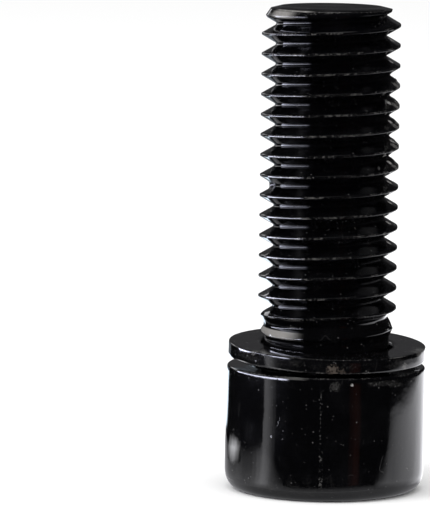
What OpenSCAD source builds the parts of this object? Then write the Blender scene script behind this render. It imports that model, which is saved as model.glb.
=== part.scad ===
// Crank arm bolt: a hex socket cap screw with a rolled coarse thread and a
// washer that the thread keeps on the neck. It stands on the socket end of
// its head, on Z = 0, with the thread pointing up.
// All lengths are in millimetres and all angles in degrees.

/* [Thread] */
// Diameter over the crests of the thread
thread_d = 12; // [11:0.1:14]
// Rise of the thread in one turn
pitch = 1.75; // [1.25:0.05:2]
// Angle between the two flanks of a groove
flank_angle = 60; // [55:1:65]
// Width of the flat on top of each crest
crest_flat = 0.18; // [0.1:0.01:0.24]
// Width of the flat at the bottom of each groove
root_flat = 0.33; // [0.2:0.01:0.4]
// Turns over which the thread fades into the plain neck
runout_turns = 1.4; // [0.6:0.1:2]
// Direction in which the crest would reach the plane of the tip
thread_end_angle = 321; // [0:1:359]
// Facets in one turn of the thread
thread_facets = 48; // [24:4:48]

/* [Shank] */
// Length from the bearing face of the head to the tip
shank_length = 31.2; // [22:0.1:60]
// Length of the plain neck between the bearing face and the thread
neck_length = 2.5; // [2.2:0.1:8]
// Radius of the fillet where the neck meets the head
neck_fillet_r = 1.45; // [1.1:0.05:1.7]
// Diameter of the flat face at the tip
tip_d = 8.9; // [7:0.1:9.4]
// Diameter of the shoulder where the tip's shallow cone meets its chamfer
tip_shoulder_d = 10.5; // [9.6:0.1:10.8]
// Height of the tip's shallow cone
tip_cone_h = 0.2; // [0.1:0.05:0.4]
// Height of the chamfer that cuts down the first crests
tip_chamfer_h = 1.1; // [0.6:0.1:1.8]

/* [Head] */
// Diameter of the head at its bearing face
head_d = 17.2; // [16.4:0.1:22]
// Height of the head
head_h = 10.8; // [9.5:0.1:14]
// Radius of the rounded corner at the socket end
head_corner_r = 1.3; // [0.6:0.1:2]
// Radius of the small rounded edge at the bearing face
head_edge_r = 0.25; // [0.1:0.05:0.6]
// How far the forming of the socket has spread the head, on the radius
head_swell = 0.11; // [0:0.01:0.2]
// Height below which the head has its full spread
swell_low_z = 3.8; // [2.5:0.1:4.5]
// Height above which the head has not spread
swell_high_z = 7.2; // [6:0.1:9]

/* [Hex socket] */
// Width of the socket across its flats
socket_af = 11.1; // [9:0.1:11.2]
// Depth of the socket's straight walls
socket_depth = 6.2; // [4.5:0.1:7]
// How far the round mouth reaches past the corners of the hexagon
mouth_margin = 0.12; // [0.05:0.01:0.2]
// Full angle of the cone that opens the mouth
mouth_angle = 120; // [90:5:130]
// Diameter of the round dish in the socket's floor
dish_d = 7.4; // [5:0.1:8.5]
// Diameter of the dish at its deepest
dish_floor_d = 2.4; // [1:0.1:4]
// Depth of the dish below the socket's floor
dish_depth = 1.1; // [0.4:0.1:1.8]

/* [Washer] */
// Thickness of the washer
washer_t = 1.3; // [1:0.05:1.6]
// How far the washer's rim stands back from the rim of the head
washer_inset = 0.05; // [0:0.05:1]
// Radial play of the washer round the neck, less than the thread stands out
bore_play = 0.3; // [0.25:0.01:0.4]
// Radius of the rounded edges on the washer's rim
washer_edge_r = 0.35; // [0.1:0.05:0.45]
// Chamfer on the edges of the washer's bore
bore_chamfer = 0.12; // [0.05:0.01:0.2]
// Clearance between the washer and the fillet that it rides on
seat_clearance = 0.05; // [0.02:0.01:0.1]

/* [Hidden] */
$fn = 96;
black_coat = "#141416";
worn_black_coat = "#242427";
// Reach of a cut past the face that it cuts
over = 0.1;

// Thread form: the crest stands out, and the neck has the pitch diameter,
// because a thread is rolled from a plain blank without losing metal
crest_r = thread_d / 2;
thread_depth = (pitch - crest_flat - root_flat) / 2 / tan(flank_angle / 2);
root_r = crest_r - thread_depth;
sharp_height = pitch / 2 / tan(flank_angle / 2);
neck_r = crest_r - 3 / 8 * sharp_height;

head_r = head_d / 2;
swell_r = head_r + head_swell;
bearing_z = head_h;
thread_z = bearing_z + neck_length;
tip_z = bearing_z + shank_length;
shoulder_z = tip_z - tip_cone_h;
runout_h = runout_turns * pitch;

socket_corner_r = socket_af / 2 / cos(30);
mouth_r = socket_corner_r + mouth_margin;
mouth_depth = (mouth_r - socket_af / 2) / tan(mouth_angle / 2);

// The washer's bore meets the neck fillet at this height above the head
bore_r = neck_r + bore_play;
fillet_reach = neck_fillet_r - bore_play;
fillet_rise = bore_play < neck_fillet_r
    ? neck_fillet_r - sqrt(pow(neck_fillet_r, 2) - pow(fillet_reach, 2))
    : 0;
washer_z = bearing_z + fillet_rise + seat_clearance;
washer_r = head_r - washer_inset;

// ---- Thread ----------------------------------------------------------

function clamp(x, low, high) = max(low, min(high, x));
function ease(t) = t * t * (3 - 2 * t);

// Height of the crest that passes nearest below the tip, by direction
function crest_z(angle) = tip_z + pitch * (angle - thread_end_angle) / 360;

// Radius of the endless thread at a direction and a height
function form_r(angle, z) =
    let (turns = (z - crest_z(angle)) / pitch)
    let (from_crest = abs(turns - round(turns)) * pitch - crest_flat / 2)
    crest_r - clamp(from_crest / tan(flank_angle / 2), 0, thread_depth);

// The same thread faded into the neck below and cut by the chamfer above
function thread_r(angle, z) =
    let (fade = ease(clamp((z - thread_z) / runout_h, 0, 1)))
    let (slope = (crest_r - tip_shoulder_d / 2) / tip_chamfer_h)
    let (chamfer_r = tip_shoulder_d / 2 + (shoulder_z - z) * slope)
    min(neck_r + (form_r(angle, z) - neck_r) * fade, chamfer_r);

// A row of points runs up the helix along each edge of the crests and roots,
// so the mesh has four rows to a turn. Rows and columns wrap round: the last
// column's neighbour is the first column, one turn further on.
row_offsets = [
    -crest_flat / 2,
    crest_flat / 2,
    (pitch - root_flat) / 2,
    (pitch + root_flat) / 2
];
rows_per_turn = len(row_offsets);
first_turn = floor((thread_z - tip_z) / pitch) - 2;
turn_count = 3 - first_turn;
row_count = turn_count * rows_per_turn;

function column_angle(column) = 360 * column / thread_facets;
function row_z(column, row) =
    crest_z(column_angle(column))
    + (first_turn + floor(row / rows_per_turn)) * pitch
    + row_offsets[row % rows_per_turn];
function on_cylinder(angle, r, z) = [r * cos(angle), r * sin(angle), z];

// Rings of points that close the thread: at the neck, at the shoulder of the
// tip and at the tip's flat face
neck_ring_inset = 0.02;
function neck_ring(column) =
    on_cylinder(column_angle(column), neck_r - neck_ring_inset, thread_z);
function shoulder_ring(column) =
    let (angle = column_angle(column))
    on_cylinder(angle, thread_r(angle, shoulder_z), shoulder_z);
function tip_ring(column) = on_cylinder(column_angle(column), tip_d / 2, tip_z);

thread_points = [
    for (column = [0:thread_facets - 1])
        for (row = [0:row_count - 1])
            let (angle = column_angle(column), z = row_z(column, row))
            on_cylinder(angle, thread_r(angle, z), z),
    for (column = [0:thread_facets - 1]) neck_ring(column),
    for (column = [0:thread_facets - 1]) shoulder_ring(column),
    for (column = [0:thread_facets - 1]) tip_ring(column)
];

neck_ring_start = thread_facets * row_count;
shoulder_ring_start = neck_ring_start + thread_facets;
tip_ring_start = shoulder_ring_start + thread_facets;

// Rows that come this close to an end ring are left out
ring_gap = 0.03;

// Index of a point of the mesh, where what lies past an end ring is the ring
function mesh_point(column, row) =
    column == thread_facets
        ? mesh_point(0, row + rows_per_turn)
        : row_z(column, row) < thread_z + ring_gap ? neck_ring_start + column
        : row_z(column, row) > shoulder_z - ring_gap ? shoulder_ring_start + column
        : column * row_count + row;

// A face without its repeated points, or nothing if it has shrunk to a line
function tidy_face(face) =
    let (kept = [for (i = [0:len(face) - 1])
        if (face[i] != face[(i + 1) % len(face)]) face[i]])
    len(kept) > 2 ? [kept] : [];

thread_faces = [
    for (column = [0:thread_facets - 1])
        for (row = [0:row_count - rows_per_turn - 2])
            each tidy_face([
                mesh_point(column, row),
                mesh_point(column, row + 1),
                mesh_point(column + 1, row + 1),
                mesh_point(column + 1, row)
            ]),
    for (column = [0:thread_facets - 1])
        let (next = (column + 1) % thread_facets)
        [
            shoulder_ring_start + column,
            tip_ring_start + column,
            tip_ring_start + next,
            shoulder_ring_start + next
        ],
    [for (column = [0:thread_facets - 1]) neck_ring_start + column],
    [for (column = [thread_facets - 1:-1:0]) tip_ring_start + column]
];

module rolled_thread() {
    polyhedron(points = thread_points, faces = thread_faces, convexity = 10);
}

// ---- Outlines for turning --------------------------------------------

// Takes a convex corner down to a radius. The corner is at the origin and
// the metal lies towards -X and +Y.
module corner_cut(r) {
    difference() {
        translate([-r, -over]) square([r + over, r + over]);
        translate([-r, r]) circle(r);
    }
}

module head_outline() {
    difference() {
        polygon([
            [0, 0],
            [swell_r, 0],
            [swell_r, swell_low_z],
            [head_r, swell_high_z],
            [head_r, bearing_z],
            [0, bearing_z]
        ]);
        translate([swell_r, 0]) corner_cut(min(head_corner_r, swell_r - mouth_r - over));
        translate([head_r, bearing_z]) mirror([0, 1]) corner_cut(head_edge_r);
    }
}

module neck_outline() {
    translate([0, bearing_z - over]) square([neck_r, neck_length + over]);
    translate([neck_r, bearing_z])
        difference() {
            translate([-over, -over]) square(neck_fillet_r + over);
            translate([neck_fillet_r, neck_fillet_r]) circle(neck_fillet_r);
        }
}

module washer_outline() {
    difference() {
        translate([bore_r, 0]) square([washer_r - bore_r, washer_t]);
        translate([washer_r, 0]) corner_cut(washer_edge_r);
        translate([washer_r, washer_t]) mirror([0, 1]) corner_cut(washer_edge_r);
        for (z = [0, washer_t])
            translate([bore_r, z]) circle(bore_chamfer * sqrt(2), $fn = 4);
    }
}

// ---- Parts -----------------------------------------------------------

module hex_socket() {
    rotate(30)
        translate([0, 0, -over])
            cylinder(h = socket_depth + over, r = socket_corner_r, $fn = 6);
    translate([0, 0, -over])
        cylinder(
            h = mouth_depth + over,
            r1 = mouth_r + over * tan(mouth_angle / 2),
            r2 = socket_af / 2
        );
    translate([0, 0, socket_depth - over])
        cylinder(h = over, r = dish_d / 2);
    translate([0, 0, socket_depth])
        cylinder(h = dish_depth, r1 = dish_d / 2, r2 = dish_floor_d / 2);
}

module bolt() {
    color(black_coat) {
        difference() {
            rotate_extrude() head_outline();
            hex_socket();
        }
        rotate_extrude() neck_outline();
        rolled_thread();
    }
}

module captive_washer() {
    color(worn_black_coat)
        translate([0, 0, washer_z])
            rotate_extrude() washer_outline();
}

bolt();
captive_washer();
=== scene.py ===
"""Crank arm bolt with its captive washer, dressed for a close look.

The bolt stands on the socket end of its head, on Z = 0, as it does in the CAD
frame. Sizes in the classes are in millimetres, and become metres where a mesh
or a studio piece is made. Directions and angles in the classes are in degrees.
A row of a mesh is a ring's radius, its height, and how far it stands out to
wear, from 0 to 1.
"""

import logging
import math
from dataclasses import dataclass
from enum import Enum
from typing import Callable, Sequence, Union

import bpy
import numpy as np
from mathutils import Matrix, Vector


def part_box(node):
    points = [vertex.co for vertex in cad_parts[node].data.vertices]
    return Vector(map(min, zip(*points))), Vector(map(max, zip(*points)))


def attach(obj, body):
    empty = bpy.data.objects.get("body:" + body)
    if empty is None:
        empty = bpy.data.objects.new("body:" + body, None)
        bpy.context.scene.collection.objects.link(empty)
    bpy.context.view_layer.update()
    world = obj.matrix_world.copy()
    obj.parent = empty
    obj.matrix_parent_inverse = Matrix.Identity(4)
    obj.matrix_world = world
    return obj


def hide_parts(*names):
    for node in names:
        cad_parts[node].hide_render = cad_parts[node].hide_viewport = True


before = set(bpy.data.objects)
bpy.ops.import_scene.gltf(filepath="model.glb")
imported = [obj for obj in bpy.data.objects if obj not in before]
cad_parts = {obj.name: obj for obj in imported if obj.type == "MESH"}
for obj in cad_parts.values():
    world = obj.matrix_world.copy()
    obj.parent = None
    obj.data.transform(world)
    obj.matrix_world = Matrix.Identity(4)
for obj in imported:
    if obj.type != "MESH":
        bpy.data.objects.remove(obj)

log = logging.getLogger("crank_arm_bolt")

MM = 0.001
EDGE_ATTRIBUTE = "edge"
LEVEL_ATTRIBUTE = "level"
Array = np.ndarray
Color = tuple[float, float, float]
Row = tuple[Array, Array, float]


# ---- Curves and patterns for the meshes --------------------------------


def ease(share: Array) -> Array:
    """Turns a share from 0 to 1 into one that starts and stops softly."""
    share = np.clip(share, 0, 1)
    return share * share * (3 - 2 * share)


def soft_min(a: Array, b: Array, blend: float) -> Array:
    """Gives the lesser of two curves, rounded over a blend width where they cross."""
    share = np.clip(0.5 + (b - a) / (2 * blend), 0, 1)
    return b + (a - b) * share - blend * share * (1 - share)


def angle_between(a: Array, b: float) -> Array:
    """Gives the signed difference of two directions in degrees, from -180 to 180."""
    return (a - b + 180) % 360 - 180


def arc(centre: tuple[float, float], radius: float, start: float, end: float, steps: int) -> Array:
    """Points on an arc in the plane of radius and height.

    Args:
        centre: Radius and height of the arc's centre.
        radius: Radius of the arc.
        start: Direction of the first point in degrees, 0 outward and 90 up.
        end: Direction of the last point in degrees.
        steps: Number of steps between the two.

    Returns:
        An array of steps + 1 rows of radius and height.
    """
    turn = np.radians(np.linspace(start, end, steps + 1))
    return np.stack([centre[0] + radius * np.cos(turn), centre[1] + radius * np.sin(turn)], 1)


def ridge(steps: int, peak: float) -> Array:
    """How far each point of a rounded edge stands out to wear, most in its middle."""
    return peak * np.sin(np.linspace(0, math.pi, steps + 1)) ** 4


@dataclass(frozen=True)
class Ripple:
    """Low uneven waves of a forged surface, from a few seeded plane waves.

    The size and the height are in millimetres, and the spread is the least and
    the greatest length of a wave as a share of the size.
    """

    size: float
    height: float
    seed: int
    waves: int = 14
    spread: tuple[float, float] = (0.7, 1.6)

    def at(self, points: Array) -> Array:
        """Height of the ripple.

        Args:
            points: Places in millimetres, one to a row.

        Returns:
            The height at each place.
        """
        dice = np.random.default_rng(self.seed)
        directions = dice.normal(size=(self.waves, 3))
        directions /= np.linalg.norm(directions, axis=1)[:, None]
        lengths = self.size * dice.uniform(*self.spread, self.waves)
        phases = dice.uniform(0, 2 * math.pi, self.waves)
        swing = np.sin(points @ (directions * 2 * math.pi / lengths[:, None]).T + phases)
        return self.height * swing.sum(-1) / math.sqrt(self.waves)


@dataclass(frozen=True)
class Bruise:
    """A round dent, or a lump where its height is positive, on a turned surface.

    The direction and its width are in degrees, and the rest in millimetres.
    """

    direction: float
    z: float
    width: float
    reach: float
    height: float

    def at(self, angle: Array, z: Array) -> Array:
        """Change of radius that the bruise makes.

        Args:
            angle: Directions in degrees.
            z: Heights.

        Returns:
            The change at each place.
        """
        across = angle_between(angle, self.direction) / self.width
        along = (z - self.z) / self.reach
        return self.height * np.exp(-(across**2) - along**2)


# ---- Meshes -------------------------------------------------------------


class Skin:
    """A closed surface made of rings of points round the Z axis."""

    def __init__(self, columns: int) -> None:
        """Starts an empty surface.

        Args:
            columns: Number of points in a ring.
        """
        self.columns = columns
        self.angles = np.arange(columns) * 360 / columns
        self.points: list[Array] = []
        self.edges: list[Array] = []
        self.faces: list[tuple[int, ...]] = []
        self.count = 0

    def add(self, radius: Array, z: Array, edge: Array, angles: Array) -> Array:
        """Adds points and gives their indices.

        Args:
            radius: Distance of each point from the axis.
            z: Height of each point.
            edge: How much each point stands out to wear, from 0 to 1.
            angles: Direction of each point in degrees.

        Returns:
            The index of each point, in the shape of the radius array.
        """
        radius, z, edge, angles = np.broadcast_arrays(radius, z, edge, angles)
        turn = np.radians(angles)
        place = np.stack([radius * np.cos(turn), radius * np.sin(turn), z], -1)
        self.points.append(place.reshape(-1, 3))
        self.edges.append(edge.reshape(-1))
        first = self.count
        self.count += radius.size
        return np.arange(first, self.count).reshape(radius.shape)

    def ring(self, radius: Union[float, Array], z: Union[float, Array], edge: float = 0) -> Array:
        """Adds one ring of points and gives their indices."""
        return self.add(np.broadcast_to(radius, self.angles.shape), z, edge, self.angles)

    def pole(self, z: float) -> Array:
        """Adds a point on the axis and gives its index once for each column."""
        return np.full(self.columns, self.add(np.zeros(1), z, 0, np.zeros(1))[0])

    def face(self, corners: Sequence[int]) -> None:
        """Adds a face without its repeated corners, or nothing if it is a line.

        Args:
            corners: Indices of the corners in order.
        """
        kept = [int(a) for a, b in zip(corners, [*corners[1:], corners[0]]) if a != b]
        if len(set(kept)) > 2:
            self.faces.append(tuple(kept))

    def join(self, lower: Array, upper: Array, lower_next: Array, upper_next: Array) -> None:
        """Adds a strip of faces between two rows of points.

        Args:
            lower: Indices of the row that comes first.
            upper: Indices of the row that comes second.
            lower_next: For each column, the index one column on in the first row.
            upper_next: The same for the second row.
        """
        for corners in zip(lower, lower_next, upper_next, upper):
            self.face(corners)

    def join_rings(self, rings: Sequence[Array]) -> None:
        """Joins each ring with the one that follows it."""
        for lower, upper in zip(rings, rings[1:]):
            self.join(lower, upper, np.roll(lower, -1), np.roll(upper, -1))

    def piece(self, name: str, move: Callable[[Array], Array] = lambda points: points) -> bpy.types.Object:
        """Makes the object.

        Args:
            name: Name of the object.
            move: Changes the points, in millimetres, before they are used.

        Returns:
            The new object, with smooth faces and its edge attribute.
        """
        points = move(np.concatenate(self.points)) * MM
        used = np.unique([index for face in self.faces for index in face])
        place = np.full(self.count, -1)
        place[used] = np.arange(len(used))
        mesh = bpy.data.meshes.new(name)
        mesh.from_pydata(points[used].tolist(), [], [tuple(place[list(face)]) for face in self.faces])
        mesh.validate()
        mesh.shade_smooth()
        worn = mesh.attributes.new(EDGE_ATTRIBUTE, "FLOAT", "POINT")
        worn.data.foreach_set("value", np.concatenate(self.edges)[used].astype(np.float32))
        made = bpy.data.objects.new(name, mesh)
        bpy.context.scene.collection.objects.link(made)
        return made


# ---- Shader expressions -------------------------------------------------

Operand = Union["Signal", float]


@dataclass(frozen=True)
class Signal:
    """An output of a shader node, with operators that add Math nodes."""

    graph: "Graph"
    socket: bpy.types.NodeSocket

    def math(self, operation: str, *values: Operand) -> "Signal":
        """Adds a Math node with this signal as its first value."""
        return self.graph.node(
            "ShaderNodeMath", {"operation": operation}, dict(enumerate([self, *values]))
        )

    def __add__(self, other: Operand) -> "Signal":
        """Sum."""
        return self.math("ADD", other)

    def __radd__(self, other: float) -> "Signal":
        """Sum, from the right."""
        return self.math("ADD", other)

    def __sub__(self, other: Operand) -> "Signal":
        """Difference."""
        return self.math("SUBTRACT", other)

    def __rsub__(self, other: float) -> "Signal":
        """Difference, from the right."""
        return self.graph.node(
            "ShaderNodeMath", {"operation": "SUBTRACT"}, {0: other, 1: self}
        )

    def __mul__(self, other: Operand) -> "Signal":
        """Product."""
        return self.math("MULTIPLY", other)

    def __rmul__(self, other: float) -> "Signal":
        """Product, from the right."""
        return self.math("MULTIPLY", other)

    def __abs__(self) -> "Signal":
        """Size without sign."""
        return self.math("ABSOLUTE")

    def most(self, other: Operand) -> "Signal":
        """The greater of two values."""
        return self.math("MAXIMUM", other)

    def rises(self, low: Operand, high: Operand) -> "Signal":
        """A soft step from 0 where the signal is low to 1 where it is high.

        Args:
            low: Signal below which the step is 0.
            high: Signal above which the step is 1.

        Returns:
            The step.
        """
        return self.graph.node(
            "ShaderNodeMapRange",
            {"interpolation_type": "SMOOTHSTEP"},
            {"Value": self, "From Min": low, "From Max": high},
        )

    def falls(self, low: Operand, high: Operand) -> "Signal":
        """A soft step from 1 where the signal is low to 0 where it is high."""
        return 1 - self.rises(low, high)

    def between(self, off: float, on: float) -> "Signal":
        """Takes a share from 0 to 1 to a value between off and on."""
        return self * (on - off) + off


class Graph:
    """The nodes of one material or world."""

    def __init__(self, tree: bpy.types.NodeTree) -> None:
        """Empties the tree and keeps it."""
        self.tree = tree
        tree.nodes.clear()

    def node(
        self,
        kind: str,
        settings: Union[dict, None] = None,
        inputs: Union[dict, None] = None,
        output: Union[int, str] = 0,
    ) -> Signal:
        """Adds a node.

        Args:
            kind: The node's type.
            settings: Its settings, which are set first.
            inputs: The values or signals of its sockets, by name or number.
            output: The socket that is wanted, by name or number.

        Returns:
            The wanted output.
        """
        made = self.tree.nodes.new(kind)
        for name, value in (settings or {}).items():
            setattr(made, name, value)
        for name, value in (inputs or {}).items():
            if isinstance(value, Signal):
                self.tree.links.new(value.socket, made.inputs[name])
            else:
                made.inputs[name].default_value = value
        return Signal(self, made.outputs[output] if len(made.outputs) else None)

    def mix(self, share: Operand, off: Union[Signal, Color], on: Union[Signal, Color]) -> Signal:
        """Mixes two colours.

        Args:
            share: How much of the second colour there is.
            off: The colour where the share is 0.
            on: The colour where the share is 1.

        Returns:
            The mixed colour.
        """
        # The node repeats its socket names for each kind of value, so they go by number.
        factor, color_a, color_b, color_out = 0, 6, 7, 2
        off, on = (c if isinstance(c, Signal) else (*c, 1) for c in (off, on))
        sockets = {factor: share, color_a: off, color_b: on}
        return self.node("ShaderNodeMix", {"data_type": "RGBA"}, sockets, output=color_out)

    def place(self) -> Signal:
        """The point on the object, in metres, in the object's own frame."""
        return self.node("ShaderNodeTexCoord", output="Object")

    def stretched(self, place: Signal, scale: tuple[float, float, float]) -> Signal:
        """Multiplies a place by a factor along each axis."""
        return self.node("ShaderNodeVectorMath", {"operation": "MULTIPLY"}, {0: place, 1: scale})

    def along(self, place: Signal, way: tuple[float, float, float]) -> Signal:
        """How far a place lies along a direction of length 1, in metres."""
        return self.node(
            "ShaderNodeVectorMath", {"operation": "DOT_PRODUCT"}, {0: place, 1: way}, output="Value"
        )

    def noise(self, place: Signal, size: float, detail: float = 2, roughness: float = 0.5) -> Signal:
        """Noise from 0 to 1.

        Args:
            place: The place that is asked about.
            size: Size of the largest features in millimetres.
            detail: Number of finer layers.
            roughness: Strength of each finer layer beside the one before.

        Returns:
            The noise.
        """
        return self.node(
            "ShaderNodeTexNoise",
            inputs={
                "Vector": place,
                "Scale": 1 / (size * MM),
                "Detail": detail,
                "Roughness": roughness,
            },
        )

    def edge(self) -> Signal:
        """How much the mesh stands out to wear at this point."""
        return self.node("ShaderNodeAttribute", {"attribute_name": EDGE_ATTRIBUTE}, output="Fac")

    def near(self, place: Signal, point: Vector, reach: float, core: float = 0.15) -> Signal:
        """A soft spot, with its lengths in metres.

        Args:
            place: The place that is asked about.
            point: The middle of the spot.
            reach: Distance at which the spot ends.
            core: Share of the reach within which the spot is whole.

        Returns:
            1 in the core, falling to 0 at the reach.
        """
        gap = self.node(
            "ShaderNodeVectorMath",
            {"operation": "DISTANCE"},
            {0: place, 1: tuple(point)},
            output="Value",
        )
        return gap.falls(core * reach, reach)


# ---- Finishes -----------------------------------------------------------


class StainAndHighlight(Enum):
    """What shows in a worn or dirty spot. The patches also use STEEL and DUST as the colour of painted
    highlights.
    """

    STEEL = (0.30, 0.29, 0.28)
    DUST = (0.42, 0.41, 0.40)
    GRIME = (0.21, 0.17, 0.14)


@dataclass(frozen=True)
class Grain:
    """A mask of noise, which rises from 0 to 1 between two of the noise's values.

    The size of its features is in millimetres.
    """

    size: float
    low: float
    high: float
    detail: float = 2
    roughness: float = 0.5

    def noise(self, graph: Graph, place: Signal) -> Signal:
        """The noise by itself."""
        return graph.noise(place, self.size, self.detail, self.roughness)

    def rise(self, noise: Signal) -> Signal:
        """Turns noise into the mask."""
        return noise.rises(self.low, self.high)

    def mask(self, graph: Graph, place: Signal) -> Signal:
        """The mask of the grain's own noise."""
        return self.rise(self.noise(graph, place))


@dataclass(frozen=True)
class WornSpot:
    """A place where the coat is scuffed or dirty.

    The direction is in degrees, and the radius, height and reach are in
    millimetres. Strength and raggedness go from 0 to 1.
    """

    direction: float
    radius: float
    z: float
    reach: float
    strength: float
    stain: StainAndHighlight = StainAndHighlight.STEEL
    ragged: float = 1.0

    def point(self) -> Vector:
        """The middle of the spot in metres."""
        turn = math.radians(self.direction)
        return Vector((self.radius * math.cos(turn), self.radius * math.sin(turn), self.z)) * MM


@dataclass(frozen=True)
class Patch:
    """An upright patch of dust, a row of pinholes, or a painted highlight: direction in degrees, the rest
    in millimetres.

    It fades sideways and upright. Dotted goes from 0, where the whole patch is
    stained, to 1, where only its grains are.
    """

    direction: float
    z_range: tuple[float, float]
    half_width: float
    fade: tuple[float, float]
    strength: float
    dotted: float = 1.0
    # The patch's colour: dust on most, a painted highlight on those of the tip, the runout and the head's
    # top edge.
    stain: StainAndHighlight = StainAndHighlight.DUST
    grains: Grain = Grain(0.22, 0.54, 0.66, detail=3, roughness=0.7)

    def cover(self, graph: Graph, place: Signal) -> Signal:
        """Share of the patch's colour, which on some patches is a painted highlight.

        Args:
            graph: The material's nodes.
            place: The place that is asked about.

        Returns:
            The share, from 0 to the patch's strength.
        """
        turn = math.radians(self.direction)
        sideways = (-math.sin(turn), math.cos(turn), 0)
        outward = (math.cos(turn), math.sin(turn), 0)
        across, out, height = (graph.along(place, way) for way in (sideways, outward, (0, 0, 1)))
        dots = self.grains.mask(graph, place).between(1 - self.dotted, 1)
        low, high = self.z_range
        beyond, above = (fade * MM for fade in self.fade)
        inside = height.rises(low * MM - above, low * MM) * height.falls(high * MM, high * MM + above)
        beside = abs(across).falls(self.half_width * MM - beyond, self.half_width * MM + beyond)
        return beside * out.rises(0, MM) * inside * dots * self.strength


@dataclass(frozen=True)
class Relief:
    """Heights in millimetres of what stands out of the coat, or lies in it where negative."""

    wave_size: float = 1.3
    waves: float = 0.010
    grain_size: float = 0.14
    grains: float = 0.0007
    specks: float = 0.004
    hairlines: float = -0.0015
    wear: float = -0.004


@dataclass(frozen=True)
class GlossBlackCoat:
    """Gloss black coat over forged steel, with specks, hairlines and worn edges.

    Gloss and dull are the roughness of the clear and the hazy coat. The edges
    wear by edge_wear, and by side_wear more on the lit side, which is a
    direction and starts between two distances from the axis in millimetres.
    The extra bare steel on that side is partly wear and partly a painted
    highlight where the light falls.
    """

    name: str
    coat: Color = (0.0009, 0.0009, 0.0012)
    haze: Color = (0.0022, 0.0022, 0.0026)
    gloss: float = 0.07
    dull: float = 0.09
    edge_wear: float = 0.5
    side_wear: float = 0.0
    rubbed_and_lit_side: float = -145
    rubbed_and_lit_reach: tuple[float, float] = (3.6, 5)
    bare_metal: float = 0.7
    scuff_roughness: float = 0.25
    speck_gap: float = 0.42
    speck_edge: tuple[float, float] = (0.05, 0.19)
    speck_light: float = 0.22
    hairline_size: float = 2.3
    hairline_stretch: float = 0.45
    hairline_edge: tuple[float, float] = (0.0008, 0.003)
    hairline_light: float = 0.05
    hairline_scuff: float = 0.5
    relief: Relief = Relief()
    haze_grain: Grain = Grain(3.2, 0.45, 0.72, detail=4, roughness=0.6)
    speck_grain: Grain = Grain(0.7, 0.46, 0.70, detail=1)
    hairline_grain: Grain = Grain(1.6, 0.56, 0.66)
    wear_grain: Grain = Grain(0.16, 0.50, 0.62, detail=3, roughness=0.65)
    wear_broad_size: float = 1.4
    wear_fineness: float = 0.6
    spot_grain: Grain = Grain(0.15, 0.56, 0.68, detail=4, roughness=0.75)
    spot_gather: float = 0.20
    spots: tuple[WornSpot, ...] = ()
    patches: tuple[Patch, ...] = ()

    def material(self) -> bpy.types.Material:
        """Builds the material.

        Returns:
            The new material.
        """
        made = bpy.data.materials.new(self.name)
        made.use_nodes = True
        graph = Graph(made.node_tree)
        place = graph.place()
        haze = self.haze_grain.mask(graph, place)
        specks = self.specks(graph, place)
        lines = self.hairlines(graph, place)
        worn = self.wear(graph, place)
        color = graph.mix(haze, self.coat, self.haze)
        dusty = (lines * self.hairline_light).most(specks * self.speck_light)
        color = graph.mix(dusty, color, StainAndHighlight.DUST.value)
        # Bare steel of wear, with the lit side's extra share as a painted highlight.
        color = graph.mix(worn, color, StainAndHighlight.STEEL.value)
        scuffed = worn.most(specks).most(lines * self.hairline_scuff)
        # Patches lay dust, and paint highlights on the tip, the runout and the head's top edge.
        for patch in self.patches:
            color = graph.mix(patch.cover(graph, place), color, patch.stain.value)
        for spot in self.spots:
            cover = self.spot(graph, place, spot)
            color = graph.mix(cover, color, spot.stain.value)
            scuffed = scuffed.most(cover)
        rough = haze.between(self.gloss, self.dull) + scuffed * self.scuff_roughness
        shader = graph.node(
            "ShaderNodeBsdfPrincipled",
            inputs={
                "Base Color": color,
                "Metallic": worn * self.bare_metal,
                "Roughness": rough,
                "Normal": self.normal(graph, place, specks, lines, worn),
            },
        )
        graph.node("ShaderNodeOutputMaterial", inputs={"Surface": shader})
        return made

    def specks(self, graph: Graph, place: Signal) -> Signal:
        """Fine dust and pinholes, in a few cells out of many.

        Args:
            graph: The material's nodes.
            place: The place that is asked about.

        Returns:
            1 in a speck, and 0 off it.
        """
        found = graph.node(
            "ShaderNodeTexVoronoi",
            inputs={"Vector": place, "Scale": 1 / (self.speck_gap * MM)},
            output="Distance",
        )
        chosen = self.speck_grain.mask(graph, place)
        return found.falls(*self.speck_edge) * chosen

    def hairlines(self, graph: Graph, place: Signal) -> Signal:
        """Fine curved scratches, where a slow pattern crosses its middle value.

        Args:
            graph: The material's nodes.
            place: The place that is asked about.

        Returns:
            1 in a scratch, and 0 off it.
        """
        upright = graph.stretched(place, (1, 1, self.hairline_stretch))
        drawn = graph.noise(upright, self.hairline_size, 1.5, 0.6)
        where = self.hairline_grain.mask(graph, place)
        return abs(drawn - 0.5).falls(*self.hairline_edge) * where

    def wear(self, graph: Graph, place: Signal) -> Signal:
        """Bare and rubbed places along the edges, broken up at two sizes, and more on the lit side, where
        the extra is partly a painted highlight.

        Args:
            graph: The material's nodes.
            place: The place that is asked about.

        Returns:
            Share of bare steel, which on the lit side is partly a painted highlight.
        """
        fine = self.wear_grain.noise(graph, place) * self.wear_fineness
        broad = graph.noise(place, self.wear_broad_size) * (1 - self.wear_fineness)
        rubbed = self.wear_grain.rise(fine + broad)
        # Extra bare steel on the lit side: partly wear, partly a painted highlight.
        turn = math.radians(self.rubbed_and_lit_side)
        reach = (distance * MM for distance in self.rubbed_and_lit_reach)
        side = graph.along(place, (math.cos(turn), math.sin(turn), 0)).rises(*reach)
        return graph.edge() * rubbed * (side * self.side_wear + self.edge_wear)

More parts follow.
